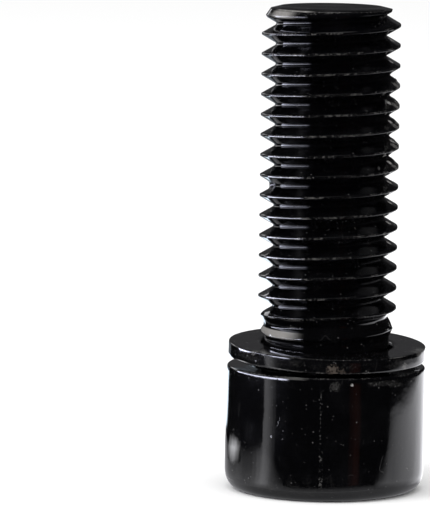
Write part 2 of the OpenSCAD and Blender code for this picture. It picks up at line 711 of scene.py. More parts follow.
    def spot(self, graph: Graph, place: Signal, spot: WornSpot) -> Signal:
        """One scuffed place, broken up by fine noise, more so towards its rim.

        Args:
            graph: The material's nodes.
            place: The place that is asked about.
            spot: The scuffed place.

        Returns:
            Share of the stain.
        """
        inside = graph.near(place, spot.point(), spot.reach * MM)
        grains = self.spot_grain.noise(graph, place) + inside * self.spot_gather
        broken = self.spot_grain.rise(grains).between(1 - spot.ragged, 1)
        return broken * inside.rises(0, 0.5) * spot.strength

    def normal(self, graph: Graph, place: Signal, specks: Signal, lines: Signal, worn: Signal) -> Signal:
        """The surface normal with the coat's waves, grains and scratches.

        Args:
            graph: The material's nodes.
            place: The place that is asked about.
            specks: Mask of the specks.
            lines: Mask of the scratches.
            worn: Share of bare steel.

        Returns:
            The normal.
        """
        relief = self.relief
        height = graph.noise(place, relief.wave_size) * relief.waves
        height = height + graph.noise(place, relief.grain_size) * relief.grains
        for mask, rise in ((specks, relief.specks), (lines, relief.hairlines), (worn, relief.wear)):
            height = height + mask * rise
        return graph.node(
            "ShaderNodeBump", inputs={"Strength": 1.0, "Distance": MM, "Height": height}, output="Normal"
        )


# ---- Sizes of the bolt --------------------------------------------------


@dataclass(frozen=True)
class Thread:
    """The rolled coarse thread, in millimetres and degrees.

    Next to the neck it starts as a soft swelling, and the full form is cut in
    above it. Each of the two is a list of heights above the start and shares.
    The crest's rows are heights from its middle, and its wear fades from a
    height over another.
    """

    crest_r: float = 6.0
    pitch: float = 1.75
    flank_angle: float = 30
    crest_flat: float = 0.18
    root_flat: float = 0.16
    start_z: float = 13.48
    tip_z: float = 42.0
    end_angle: float = 321
    crest_round: float = 0.05
    crest_crown: float = 0.005
    root_arc: float = 0.12
    swelling: tuple[tuple[float, float], ...] = ((0, 0), (0.08, 0.36), (3, 0.36))
    swelling_top: float = 0.96
    swelling_round: float = 0.05
    cutting: tuple[tuple[float, float], ...] = ((0, 0), (0.8, 0), (1.5, 0.2), (2.2, 1))
    crest_rows: tuple[float, ...] = (0, 0.045, 0.08, 0.105, 0.14)
    flank_rows: tuple[float, ...] = (0.33, 0.67, 1)
    root_rows: tuple[float, ...] = (0.66, 0.33)
    crest_wear: float = 0.03
    crest_wear_fade: float = 0.09
    bruises: tuple[Bruise, ...] = ()

    @property
    def slope(self) -> float:
        """Change of radius along a flank for each millimetre of height."""
        return 1 / math.tan(math.radians(self.flank_angle))

    @property
    def root_r(self) -> float:
        """Radius at the bottom of a groove."""
        return self.crest_r - (self.pitch - self.crest_flat - self.root_flat) / 2 * self.slope

    @property
    def neck_r(self) -> float:
        """Radius of the plain neck, which is the thread's pitch radius."""
        return self.crest_r - 3 / 16 * self.pitch * self.slope

    def crest_z(self, angle: Array) -> Array:
        """Height of the crest that passes nearest below the tip."""
        return self.tip_z + self.pitch * (angle - self.end_angle) / 360

    def from_crest(self, angle: Array, z: Array) -> Array:
        """Height between a point and the middle of the nearest crest."""
        turns = (z - self.crest_z(angle)) / self.pitch
        return np.abs(turns - np.round(turns)) * self.pitch

    def form(self, angle: Array, z: Array) -> Array:
        """Radius of the endless thread, with rounded crests and roots.

        Args:
            angle: Directions in degrees.
            z: Heights.

        Returns:
            The radius at each place.
        """
        away = self.from_crest(angle, z)
        flank = self.crest_r - (away - self.crest_flat / 2) * self.slope
        crown = self.crest_r - self.crest_crown * (away / (self.crest_flat / 2)) ** 2
        to_root = self.pitch / 2 - away
        arc_r = self.root_arc / math.cos(math.radians(self.flank_angle))
        inside = np.sqrt(np.clip(arc_r**2 - to_root**2, 0, None))
        groove = self.root_r + arc_r - inside
        full = soft_min(flank, crown, self.crest_round)
        return np.where(to_root < self.root_arc, groove, full)

    def runout(self, z: Array, steps: tuple[tuple[float, float], ...]) -> Array:
        """Share at heights, from steps of height above the thread's start and share."""
        heights, shares = zip(*steps)
        return np.interp(z - self.start_z, heights, shares)

    def radius(self, angle: Array, z: Array) -> Array:
        """Radius of the real thread, which starts as a soft swelling before it is full.

        Args:
            angle: Directions in degrees.
            z: Heights.

        Returns:
            The radius at each place.
        """
        worn = sum((bruise.at(angle, z) for bruise in self.bruises), np.zeros_like(z))
        rise = 1 - 2 * self.from_crest(angle, z) / self.pitch
        wave = soft_min(rise, np.full_like(z, self.swelling_top), self.swelling_round)
        soft = self.neck_r + (self.crest_r - self.neck_r) * wave * self.runout(z, self.swelling)
        full = soft + (self.form(angle, z) - soft) * self.runout(z, self.cutting)
        return np.minimum(full + worn, self.crest_r)

    def row_offsets(self) -> Array:
        """Heights of the mesh's rows in one turn.

        Returns:
            Heights from the middle of a crest, from 0 up to a pitch.
        """
        half = self.pitch / 2
        shoulder = self.crest_rows[-1]
        flank = [shoulder + (half - self.root_arc - shoulder) * share for share in self.flank_rows]
        root = [half - self.root_arc * share for share in self.root_rows]
        upper = [*self.crest_rows, *flank, *root, half]
        lower = [-offset for offset in upper[-2:0:-1]]
        return np.array([*upper, *[self.pitch + offset for offset in lower]])


@dataclass(frozen=True)
class Tip:
    """The chamfered end of the thread, in millimetres, with a face that is a little hollow."""

    face_r: float = 4.45
    shoulder_r: float = 5.25
    cone_h: float = 0.2
    chamfer_h: float = 1.1
    round: float = 0.05
    rim_w: float = 0.12
    rim_drop: float = 0.01
    hollow: float = 0.08
    hollow_halfway: float = 0.06
    wear: float = 0.1

    def chamfer(self, thread: Thread, z: Array) -> Array:
        """Radius of the chamfer's cone at a height."""
        shoulder_z = thread.tip_z - self.cone_h
        return self.shoulder_r + (shoulder_z - z) * (thread.crest_r - self.shoulder_r) / self.chamfer_h

    def face_rows(self, top_z: float) -> list[tuple[float, float, float]]:
        """Rings of the end face, from its rim inward.

        Args:
            top_z: Height of the end face.

        Returns:
            The radius, the height and the wear of each ring.
        """
        return [
            (self.face_r, top_z - self.rim_drop, self.wear),
            (self.face_r - self.rim_w, top_z, self.wear),
            (self.face_r * 0.5, top_z - self.hollow_halfway, 0.0),
        ]


@dataclass(frozen=True)
class Head:
    """The forged cylindrical head, in millimetres and degrees.

    Its lower part swells out towards one side. The corner at the socket end is
    uneven: each pair in corners is a direction and the corner's depth there,
    and corner_blend holds the directions that are averaged between them.
    """

    r: float = 8.6
    swell: float = 0.1
    swell_side: float = 180
    swell_low_z: float = 3.8
    swell_high_z: float = 7.2
    h: float = 10.8
    corners: tuple[tuple[float, float], ...] = (
        (0, 1.6), (90, 1.6), (180, 1.6), (240, 1.3), (270, 1.4), (315, 1.8),
    )
    corner_blend: tuple[float, ...] = (-20, -10, 0, 10, 20)
    corner_rise: float = 1.25
    corner_wear: float = 0.05
    face_wear: float = 0.1
    edge_r: float = 0.2
    edge_steps: int = 6
    edge_wear: float = 1.0
    fillet_r: float = 1.45
    fillet_steps: int = 10
    side_step: float = 0.3
    ripple: Ripple = Ripple(size=6.0, height=0.006, seed=11)

    def swollen(self, angle: Array) -> Array:
        """How far the lower part of the head stands out, which is more on one side."""
        return self.swell * (0.5 + 0.5 * np.cos(np.radians(angle - self.swell_side)))

    def corner(self, angle: Array) -> Array:
        """Depth of the corner at the socket end, which the forging left uneven.

        Args:
            angle: Directions in degrees.

        Returns:
            The depth at each direction.
        """
        ways, sizes = zip(*self.corners)
        around = (np.interp(angle + off, ways, sizes, period=360) for off in self.corner_blend)
        return np.mean(list(around), axis=0)

    @staticmethod
    def gentle_bend(steps: int, fineness: int = 40) -> Array:
        """A quarter turn whose bend starts and ends without a jump.

        Args:
            steps: Number of steps between its points.
            fineness: Number of smaller steps that each is summed from.

        Returns:
            Points from (0, 0) to (1, 1).
        """
        heading = np.radians(90) * ease(np.linspace(0, 1, steps * fineness + 1))
        path = np.cumsum(np.stack([np.cos(heading), np.sin(heading)], 1), axis=0)
        return ((path - path[0]) / (path[-1] - path[0]))[::fineness]

    def corner_rows(self, angle: Array, steps: int = 18) -> list[Row]:
        """Rows round the corner at the socket end.

        Args:
            angle: Directions of the columns in degrees.
            steps: Number of steps round the corner.

        Returns:
            The rows, from the end face up to the side.
        """
        reach = self.corner(angle)
        inner_r = self.r + self.swollen(angle) - reach
        return [
            (inner_r + reach * out, reach * self.corner_rise * up, self.corner_wear)
            for out, up in self.gentle_bend(steps)
        ]

    def rows(self, angle: Array, neck_r: float, neck_top: float, inner_r: float) -> list[Row]:
        """Rows from the end face round to the neck.

        Args:
            angle: Directions of the columns in degrees.
            neck_r: Radius of the plain neck.
            neck_top: Height where the neck ends.
            inner_r: Radius where the end face starts.

        Returns:
            The rows in order.
        """
        level = np.ones_like(angle)
        corner = self.corner_rows(angle)
        face = [
            (inner_r + (corner[0][0] - inner_r) * share, 0 * level, self.face_wear)
            for share in (0.25, 0.5, 0.75)
        ]
        return [*face, *corner, *self.side_rows(angle), *self.turned_rows(angle, neck_r, neck_top)]

    def side_rows(self, angle: Array) -> list[Row]:
        """Rows up the side, from the corner to the edge of the bearing face.

        Args:
            angle: Directions of the columns in degrees.

        Returns:
            The rows in order.
        """
        level = np.ones_like(angle)
        highest_corner = max(size for _, size in self.corners) * self.corner_rise
        side_z = np.arange(highest_corner, self.h - self.edge_r, self.side_step)[1:]
        spread = 1 - ease((side_z - self.swell_low_z) / (self.swell_high_z - self.swell_low_z))
        swollen = self.swollen(angle)
        return [(self.r + swollen * share, z * level, 0.0) for share, z in zip(spread, side_z)]

    def turned_rows(self, angle: Array, neck_r: float, neck_top: float) -> list[Row]:
        """Rows over the bearing face, from its edge to the fillet, and up the neck.

        Args:
            angle: Directions of the columns in degrees.
            neck_r: Radius of the plain neck.
            neck_top: Height where the neck ends.

        Returns:
            The rows in order.
        """
        level = np.ones_like(angle)
        edge_centre = (self.r - self.edge_r, self.h - self.edge_r)
        edge_points = arc(edge_centre, self.edge_r, 0, 90, self.edge_steps)
        bearing_r = np.linspace(self.r - self.edge_r, neck_r + self.fillet_r, 5)[1:-1]
        fillet_centre = (neck_r + self.fillet_r, self.h + self.fillet_r)
        neck_z = np.linspace(self.h + self.fillet_r, neck_top, 4)[1:]
        parts = [
            (edge_points, ridge(self.edge_steps, self.edge_wear)),
            (np.stack([bearing_r, np.full_like(bearing_r, self.h)], 1), self.face_wear),
            (arc(fillet_centre, self.fillet_r, 270, 180, self.fillet_steps), 0.0),
            (np.stack([np.full_like(neck_z, neck_r), neck_z], 1), 0.0),
        ]
        return [
            (r * level, z * level, edge)
            for points, edges in parts
            for (r, z), edge in zip(points, np.broadcast_to(edges, len(points)))
        ]

    def uneven(self, angle: Array, r: Array, z: Array) -> Array:
        """Radius of a ring with the forging's waves.

        Args:
            angle: Directions of the columns in degrees.
            r: The ring's even radius.
            z: Its heights.

        Returns:
            The uneven radius, which stays within the swollen head's.
        """
        turn = np.radians(angle)
        points = np.stack([r * np.cos(turn), r * np.sin(turn), z], -1)
        return np.minimum(r + self.ripple.at(points), self.r + self.swell)


@dataclass(frozen=True)
class Socket:
    """The hex socket in the end of the head, in millimetres and degrees.

    Its floor is dished. The lip is the broken edge between a flat and the
    mouth's chamfer, and the rim is the one between the chamfer and the end face.
    """

    across_flats: float = 11.1
    depth: float = 6.2
    mouth_margin: float = 0.12
    mouth_angle: float = 120
    dish_r: float = 3.7
    dish_floor_r: float = 1.2
    dish_depth: float = 1.1
    dish_rim: float = 0.06
    corner_blend: float = 0.16
    lip: float = 0.06
    lip_out: float = 0.35
    lip_down: float = 0.3
    rim_w: float = 0.05
    rim_h: float = 0.03
    floor_round: float = 0.25
    dish_wear: float = 0.4
    wall_wear: float = 0.1
    lip_wear: tuple[float, float] = (0.5, 1.0)
    mouth_wear: float = 0.25
    rim_wear: float = 0.7

    def wall(self, angle: Array) -> Array:
        """Radius of the hexagon, with flats square to X and softened corners.

        Args:
            angle: Directions in degrees.

        Returns:
            The radius at each direction.
        """
        off = np.abs((angle + 30) % 60 - 30)
        flat = self.across_flats / 2 / np.cos(np.radians(off))
        next_flat = self.across_flats / 2 / np.cos(np.radians(60 - off))
        return soft_min(flat, next_flat, self.corner_blend)

    @property
    def mouth_r(self) -> float:
        """Radius of the round mouth at the end face."""
        return self.across_flats / 2 / math.cos(math.radians(30)) + self.mouth_margin

    @property
    def rim_r(self) -> float:
        """Radius where the end face starts."""
        return self.mouth_r + self.rim_w

    def mouth_z(self, radius: Array) -> Array:
        """Height of the mouth's chamfer at a radius."""
        return (self.mouth_r - radius) / math.tan(math.radians(self.mouth_angle / 2))

    def rows(self, angle: Array) -> list[Row]:
        """Rows from the dish out to the end face, in order."""
        return [*self.dish_rows(angle), *self.wall_rows(angle), *self.mouth_rows(angle)]

    def dish_rows(self, angle: Array) -> list[Row]:
        """Rows from the dish's own floor out to its rim.

        Args:
            angle: Directions of the columns in degrees.

        Returns:
            The rows in order.
        """
        level = np.ones_like(angle)
        cone_w = self.dish_r - self.dish_floor_r
        floor = [(self.dish_floor_r * share, 1) for share in (0.5, 1)]
        cone = [(self.dish_floor_r + cone_w * share, 1 - share) for share in (0.25, 0.5, 0.75, 0.97)]
        sunk = [
            (radius * level, (self.depth + self.dish_depth * share) * level, 0.0)
            for radius, share in (*floor, *cone)
        ]
        rim = ((self.dish_r + self.dish_rim) * level, self.depth * level, self.dish_wear)
        return [*sunk, rim]

    def wall_rows(self, angle: Array) -> list[Row]:
        """Rows over the socket's floor beside the dish, and along the flats to their lip.

        Args:
            angle: Directions of the columns in degrees.

        Returns:
            The rows in order.
        """
        wall = self.wall(angle)
        level = np.ones_like(angle)
        made = []
        for share in (0.35, 0.7):
            radius = self.dish_r + (wall - self.floor_round - self.dish_r) * share
            made.append((radius, self.depth * level, 0.0))
        for turn in np.radians([0, 30, 60, 90]):
            inward = self.floor_round * (1 - math.sin(turn))
            downward = self.floor_round * (1 - math.cos(turn))
            made.append((wall - inward, (self.depth - downward) * level, 0.0))
        straight_z = self.depth - self.floor_round
        lip_z = self.mouth_z(wall) + self.lip
        for share in (0.2, 0.4, 0.6, 0.8, 0.95):
            made.append((wall, straight_z + (lip_z - straight_z) * share, self.wall_wear))
        made.append((wall, lip_z, self.lip_wear[0]))
        return made

    def mouth_rows(self, angle: Array) -> list[Row]:
        """Rows from the lip of the flats over the mouth's chamfer to the end face.

        Args:
            angle: Directions of the columns in degrees.

        Returns:
            The rows in order.
        """
        wall = self.wall(angle)
        level = np.ones_like(angle)
        lip_z = self.mouth_z(wall) + self.lip * self.lip_down
        made = [(wall + self.lip * self.lip_out, lip_z, self.lip_wear[1])]
        for share in (0.15, 0.5, 0.85):
            radius = wall + (self.mouth_r - wall) * share
            made.append((radius, self.mouth_z(radius), self.mouth_wear))
        made.append((self.mouth_r * level, self.rim_h * level, self.rim_wear))
        made.append((self.rim_r * level, 0 * level, self.rim_wear))
        return made


@dataclass
class BoltBody:
    """The one-piece bolt: socket, head, neck, thread and tip.

    Rows of the thread that come within the ring gap of its ends, in
    millimetres, are drawn into the ring there.
    """

    thread: Thread
    tip: Tip
    head: Head
    socket: Socket
    finish: GlossBlackCoat
    columns: int = 228
    ring_gap: float = 0.03

    def build(self) -> bpy.types.Object:
        """Builds the bolt as one closed mesh that stands for the CAD node.

        Returns:
            The new object.
        """
        skin = Skin(self.columns)
        rings = [skin.pole(self.socket.depth + self.socket.dish_depth)]
        for radius, z, edge in self.socket.rows(skin.angles):
            rings.append(skin.ring(radius, z, edge))
        thread, inner_r = self.thread, self.socket.rim_r
        for radius, z, edge in self.head.rows(skin.angles, thread.neck_r, thread.start_z, inner_r):
            if 0 < z.max() < self.head.h:
                radius = self.head.uneven(skin.angles, radius, z)
            rings.append(skin.ring(radius, z, edge))
        skin.join_rings(rings)
        shoulder = self.wind(skin, rings[-1])
        face = [skin.ring(*row) for row in self.tip.face_rows(thread.tip_z)]
        skin.join_rings([shoulder, *face, skin.pole(thread.tip_z - self.tip.hollow)])
        made = skin.piece("bolt_body")
        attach(made, "bolt")
        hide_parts("bolt")
        return made

    def wind(self, skin: Skin, neck_ring: Array) -> Array:
        """Winds the thread's rows up from the neck.

        Args:
            skin: The surface that gets the rows.
            neck_ring: Indices of the ring where the thread starts.

        Returns:
            Indices of the ring where the thread ends, at the tip's shoulder.
        """
        thread = self.thread
        offsets = thread.row_offsets()
        shoulder_z = thread.tip_z - self.tip.cone_h
        spare_turns = 2
        first_turn = math.floor((thread.start_z - thread.tip_z) / thread.pitch) - spare_turns
        turns = 1 + spare_turns - first_turn
        climb = (first_turn + np.arange(turns)[:, None]) * thread.pitch + offsets[None, :]
        z = thread.crest_z(skin.angles)[None, :] + climb.reshape(-1)[:, None]
        angles = np.broadcast_to(skin.angles, z.shape)
        made = skin.add(*self.surface(angles, z), angles)
        top_z = np.full(self.columns, shoulder_z)
        shoulder = skin.ring(self.surface(skin.angles, top_z)[0], shoulder_z, self.tip.wear)
        index = np.where(z < thread.start_z + self.ring_gap, neck_ring[None, :], made)
        index = np.where(z > shoulder_z - self.ring_gap, shoulder[None, :], index)
        for row in range(len(index) - len(offsets) - 1):
            wrapped = index[row + len(offsets), 0], index[row + 1 + len(offsets), 0]
            lower_next = np.append(index[row, 1:], wrapped[0])
            upper_next = np.append(index[row + 1, 1:], wrapped[1])
            skin.join(index[row], index[row + 1], lower_next, upper_next)
        return shoulder

    def surface(self, angle: Array, z: Array) -> tuple[Array, Array, Array]:
        """The thread, cut down by the tip's chamfer.

        Args:
            angle: Directions in degrees.
            z: Heights.

        Returns:
            The radius, the height and the wear at each place.
        """
        thread = self.thread
        radius = soft_min(thread.radius(angle, z), self.tip.chamfer(thread, z), self.tip.round)
        crest = 1 - ease((thread.from_crest(angle, z) - thread.crest_wear) / thread.crest_wear_fade)
        return radius, z, crest * thread.runout(z, thread.cutting)

    def dress(self, piece: bpy.types.Object) -> None:
        """Gives the bolt its finish."""
        piece.data.materials.append(self.finish.material())


@dataclass
class CaptiveWasher:
    """The washer that the thread keeps on the neck, in millimetres and degrees.

    It leans as far as its play allows, and has slid a little along X and Y.
    """

    finish: GlossBlackCoat
    r: float = 8.55
    bore_r: float = 5.7317
    z: float = 11.4168
    thickness: float = 1.3
    low_edge_r: float = 0.3
    low_edge_steps: int = 7
    low_edge_wear: float = 0.6
    side_wear: float = 0.1
    top_edge_r: float = 0.1
    top_edge_steps: int = 6
    top_edge_wear: float = 1.0
    top_wear: float = 0.05
    bore_chamfer: float = 0.12
    bore_wear: float = 0.4
    face_rows: int = 8
    lean_right: float = 1.1
    lean_forward: float = 2.0
    slide: tuple[float, float] = (0.048, -0.088)
    ripple: Ripple = Ripple(size=4.0, height=0.010, seed=5)
    columns: int = 192

    def outline(self) -> tuple[Array, Array]:
        """Closed section of the ring.

        Returns:
            The radius and the height of each row, and how far it stands out to wear.
        """
        outer, low_r, top_r, top_z = self.r, self.low_edge_r, self.top_edge_r, self.thickness
        low = np.linspace(self.bore_r + self.bore_chamfer, outer - low_r, self.face_rows)
        low_edge = arc((outer - low_r, low_r), low_r, -90, 0, self.low_edge_steps)
        side = np.linspace(low_r, top_z - top_r, 4)[1:-1]
        top_edge = arc((outer - top_r, top_z - top_r), top_r, 0, 90, self.top_edge_steps)
        top = np.linspace(outer - top_r, self.bore_r + self.bore_chamfer, self.face_rows)[1:]
        bore = np.linspace(top_z - self.bore_chamfer, self.bore_chamfer, 4)
        parts = [
            (np.stack([low, np.zeros_like(low)], 1), 0.0),
            (low_edge[1:], ridge(self.low_edge_steps, self.low_edge_wear)[1:]),
            (np.stack([np.full_like(side, outer), side], 1), self.side_wear),
            (top_edge, ridge(self.top_edge_steps, self.top_edge_wear)),
            (np.stack([top, np.full_like(top, top_z)], 1), self.top_wear),
            (np.stack([np.full_like(bore, self.bore_r), bore], 1), self.bore_wear),
        ]
        rows = np.concatenate([part for part, _ in parts])
        edges = np.concatenate([np.broadcast_to(edge, len(part)) for part, edge in parts])
        return rows, edges

    def lean(self, points: Array) -> Array:
        """Tips the washer on the fillet under the head.

        Args:
            points: Places on the level washer.

        Returns:
            The same places on the leaning one.
        """
        middle = np.array([0, 0, self.z + self.thickness / 2])
        forward, right = math.radians(self.lean_forward), math.radians(self.lean_right)
        turn = Matrix.Rotation(forward, 3, "X") @ Matrix.Rotation(right, 3, "Y")
        return (points - middle) @ np.array(turn).T + middle + np.array([*self.slide, 0])

    def build(self) -> bpy.types.Object:
        """Builds the washer as one closed mesh that stands for the CAD node.

        Returns:
            The new object.
        """
        skin = Skin(self.columns)
        rings = []
        for (radius, z), edge in zip(*self.outline()):
            turn = np.radians(skin.angles)
            points = np.stack([radius * np.cos(turn), radius * np.sin(turn), np.full_like(turn, z)], 1)
            wave = self.ripple.at(points)
            shaped = np.minimum(radius + wave, self.r) if radius > self.bore_r else radius
            rings.append(skin.ring(shaped, self.z + z, edge))
        skin.join_rings([*rings, rings[0]])
        made = skin.piece("washer_ring", self.lean)
        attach(made, "washer")
        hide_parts("captive_washer")
        return made

    def dress(self, piece: bpy.types.Object) -> None:
        """Gives the washer its finish."""
        piece.data.materials.append(self.finish.material())


# ---- Studio -------------------------------------------------------------


def toward(azimuth: float, elevation: float = 0) -> Vector:
    """Direction from the bolt, in degrees: azimuth 0 to the camera's side, 90 to its right."""
    a, e = math.radians(azimuth), math.radians(elevation)
    return Vector((math.sin(a) * math.cos(e), -math.cos(a) * math.cos(e), math.sin(e)))


@dataclass(frozen=True)
class Card:
    """A glowing or dark card that only the gloss of the bolt sees.

    Its corners go in pairs along it, and each has a share of its light.
    """

    name: str
    light: float
    tint: Color = (0.96, 0.96, 1.0)

    def corners(self) -> list[Vector]:
        """Corners in millimetres."""
        raise NotImplementedError

    def levels(self) -> list[float]:
        """Share of the card's light at each corner."""
        return [1.0] * len(self.corners())

    def build(self) -> bpy.types.Object:
        """Builds the card and hides it from all but glossy rays.

        Returns:
            The new object.
        """
        corners = self.corners()
        faces = [(i, i + 1, i + 3, i + 2) for i in range(0, len(corners) - 2, 2)]
        mesh = bpy.data.meshes.new(self.name)
        mesh.from_pydata([corner * MM for corner in corners], [], faces)
        level = mesh.attributes.new(LEVEL_ATTRIBUTE, "FLOAT", "POINT")
        level.data.foreach_set("value", self.levels())
        made = bpy.data.objects.new(self.name, mesh)
        bpy.context.scene.collection.objects.link(made)
        made.visible_camera = made.visible_diffuse = made.visible_shadow = False
        made.visible_transmission = made.visible_volume_scatter = False
        mesh.materials.append(self.material())
        return made

    def material(self) -> bpy.types.Material:
        """Plain glow at the card's level, which may be almost none.

        Returns:
            The new material.
        """
        made = bpy.data.materials.new(self.name)
        made.use_nodes = True
        graph = Graph(made.node_tree)
        level = graph.node("ShaderNodeAttribute", {"attribute_name": LEVEL_ATTRIBUTE}, output="Fac")
        color = graph.node(
            "ShaderNodeVectorMath", {"operation": "SCALE"}, {"Vector": self.tint, "Scale": level}
        )
        glow = graph.node("ShaderNodeEmission", inputs={"Color": color, "Strength": self.light})
        graph.node("ShaderNodeOutputMaterial", inputs={"Surface": glow})
        return made


@dataclass(frozen=True)
class Fan(Card):
    """A card between two azimuths in degrees, in about equal steps."""

    azimuths: tuple[float, float] = (-180, 180)
    shares: tuple[float, float] = (1.0, 1.0)
    step: float = 4

    @property
    def steps(self) -> int:
        """Number of steps between the azimuths."""
        return max(2, math.ceil(abs(self.azimuths[1] - self.azimuths[0]) / self.step))


@dataclass(frozen=True)
class Wall(Fan):
    """An upright card curved round the bolt, between two heights."""

    radius: float = 3100
    heights: tuple[float, float] = (0, 2500)

    def corners(self) -> list[Vector]:
        """Corners in millimetres, the lower one of each pair first."""
        turns = np.linspace(*self.azimuths, self.steps + 1)
        return [toward(a) * self.radius + Vector((0, 0, z)) for a in turns for z in self.heights]

    def levels(self) -> list[float]:
        """Share of the card's light at each corner, from one azimuth to the other."""
        return list(np.repeat(np.linspace(*self.shares, self.steps + 1), 2))


@dataclass(frozen=True)
class Mat(Fan):
    """A card on the floor, with its near and its far radius at each end."""

    near: tuple[float, float] = (12, 12)
    far: tuple[float, float] = (3000, 3000)
    lift: float = 0.2

    def corners(self) -> list[Vector]:
        """Corners in millimetres, the nearer one of each pair first."""
        rows = zip(*(np.linspace(*ends, self.steps + 1) for ends in (self.azimuths, self.near, self.far)))
        return [toward(a) * r + Vector((0, 0, self.lift)) for a, near, far in rows for r in (near, far)]

    def levels(self) -> list[float]:
        """Share of the card's light at each corner, near and far."""
        return [*self.shares] * (self.steps + 1)


@dataclass(frozen=True)
class MirroredMat(Card):
    """A card on the floor, laid where the upright side of the head mirrors it.

    Each row has the azimuth that the side mirrors, the near and the far
    distance from the side, and the share of the light at each. The head's
    radius is in millimetres.
    """

    rows: tuple[tuple[float, float, float, float, float], ...] = ()
    head_r: float = 8.65
    lift: float = 0.2

    def corners(self) -> list[Vector]:
        """Corners in millimetres.

        Returns:
            The corners, the nearer one of each pair first.
        """
        up = Vector((0, 0, self.lift))
        return [
            toward(azimuth / 2) * self.head_r + toward(azimuth) * distance + up
            for azimuth, near, far, _, _ in self.rows
            for distance in (near, far)
        ]

    def levels(self) -> list[float]:
        """Share of the card's light at each corner."""
        return [share for row in self.rows for share in row[3:]]


@dataclass(frozen=True)
class SoftLamp:
    """A square soft lamp aimed at the bolt: degrees and millimetres."""

    name: str
    azimuth: float
    elevation: float
    distance: float
    side: float
    power: float

    def build(self, target: Vector) -> bpy.types.Object:
        """Builds the lamp.

        Args:
            target: The place that it is aimed at, in metres.

        Returns:
            The new object.
        """
        light = bpy.data.lights.new(self.name, "AREA")
        light.shape = "SQUARE"
        light.size = self.side * MM
        light.energy = self.power
        made = bpy.data.objects.new(self.name, light)
        made.visible_glossy = False
        bpy.context.scene.collection.objects.link(made)
        out = toward(self.azimuth, self.elevation)
        made.location = target + out * self.distance * MM
        made.rotation_mode = "QUATERNION"
        made.rotation_quaternion = out.to_track_quat("Z", "Y")
        return made


@dataclass
class Studio:
    """Pale floor, pale surroundings, soft lamps, cards and the camera.

    The floor's side and the camera's clips are in metres, the camera's place,
    lens and sensor in millimetres, and its turns in degrees.
    """

    floor_color: Color = (0.93, 0.93, 0.93)
    floor_side: float = 6.0
    fill: float = 0.95
    lamps: tuple[SoftLamp, ...] = ()
    cards: tuple[Card, ...] = ()
    camera_place: tuple[float, float, float] = (-9.738, -400.0, 67.308)
    camera_pitch: float = -6.771
    camera_yaw: float = 0.006
    camera_roll: float = 0.774
    camera_lens: float = 321.4
    camera_sensor: float = 36
    camera_clips: tuple[float, float] = (0.01, 20)

    def build(self) -> None:
        """Builds everything that isn't the bolt."""
        self.floor()
        self.world()
        middle = (Vector(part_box("bolt")[0]) + Vector(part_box("bolt")[1])) / 2
        for lamp in self.lamps:
            lamp.build(middle)
        for card in self.cards:
            card.build()
        self.camera()

    def floor(self) -> None:
        """A plain pale floor under the bolt."""
        half = self.floor_side / 2
        mesh = bpy.data.meshes.new("floor")
        corners = [(-half, -half, 0), (half, -half, 0), (half, half, 0), (-half, half, 0)]
        mesh.from_pydata(corners, [], [(0, 1, 2, 3)])
        made = bpy.data.objects.new("floor", mesh)
        bpy.context.scene.collection.objects.link(made)
        paint = bpy.data.materials.new("floor_paint")
        paint.use_nodes = True
        graph = Graph(paint.node_tree)
        shader = graph.node(
            "ShaderNodeBsdfDiffuse", inputs={"Color": (*self.floor_color, 1), "Roughness": 0.0}
        )
        graph.node("ShaderNodeOutputMaterial", inputs={"Surface": shader})
        mesh.materials.append(paint)

    def world(self) -> None:
        """Pale surroundings: white where they are seen, and a soft fill elsewhere."""
        world = bpy.data.worlds.new("pale_room")
        bpy.context.scene.world = world
        world.use_nodes = True
        graph = Graph(world.node_tree)
        rays = "ShaderNodeLightPath"
        seen = graph.node(rays, output="Is Camera Ray")
        seen = seen.most(graph.node(rays, output="Is Glossy Ray"))
        seen = seen.most(graph.node(rays, output="Is Transmission Ray"))
        light = graph.node(
            "ShaderNodeBackground", inputs={"Color": (1, 1, 1, 1), "Strength": seen.between(self.fill, 1)}
        )
        graph.node("ShaderNodeOutputWorld", inputs={"Surface": light})

    def camera(self) -> None:
        """A long lens a little above the bolt, looking slightly down."""
        lens = bpy.data.cameras.new("camera")
        lens.lens = self.camera_lens
        lens.sensor_width = self.camera_sensor
        lens.clip_start, lens.clip_end = self.camera_clips
        made = bpy.data.objects.new("camera", lens)
        bpy.context.scene.collection.objects.link(made)
        made.matrix_world = (
            Matrix.Translation(Vector(self.camera_place) * MM)
            @ Matrix.Rotation(math.radians(self.camera_yaw), 4, "Z")
            @ Matrix.Rotation(math.radians(90 + self.camera_pitch), 4, "X")
            @ Matrix.Rotation(math.radians(self.camera_roll), 4, "Z")
        )
        bpy.context.scene.camera = made


# ---- The object, piece by piece ----------------------------------------


def report(piece: bpy.types.Object) -> None:
    """Logs a piece's size and its number of triangles.

    Args:
        piece: The finished object.
    """
    piece.data.calc_loop_triangles()
    size = " x ".join(f"{side / MM:.2f}" for side in piece.dimensions)
    log.info("%s: %s mm, %d triangles", piece.name, size, len(piece.data.loop_triangles))


